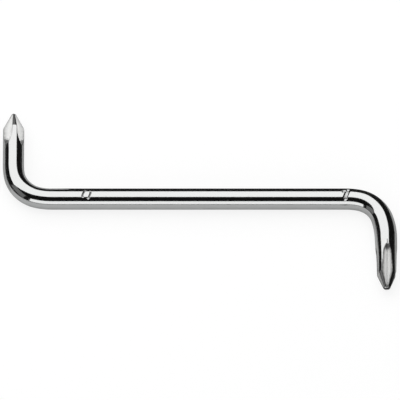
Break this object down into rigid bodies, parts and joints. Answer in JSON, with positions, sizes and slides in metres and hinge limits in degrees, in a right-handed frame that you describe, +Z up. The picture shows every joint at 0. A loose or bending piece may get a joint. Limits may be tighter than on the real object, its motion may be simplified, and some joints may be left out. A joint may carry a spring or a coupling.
{
  "type": "offset screwdriver",
  "caption": "Round chrome bar bent into a flat Z, with a small and a large cross point at its ends, for turning cross-recess screws where a straight screwdriver has no room.",
  "frame": {"origin": "middle of the footprint of the tool as it lies flat, on the surface that it lies on", "axes": "+X along the grip, towards the large end; +Y the way the small leg points; +Z up, square to the plane that the bar is bent in"},
  "size_m": [0.093, 0.0466, 0.005],
  "materials": {
    "bar_chrome": "bright polished chrome plate",
    "point_chrome": "chrome plate over milled flutes, satin inside the flutes"
  },
  "bodies": {
    "root": {"grip_bar": "bar_chrome", "small_arm": "bar_chrome", "large_arm": "bar_chrome", "small_point": "point_chrome", "large_point": "point_chrome"}
  },
  "joints": []
}
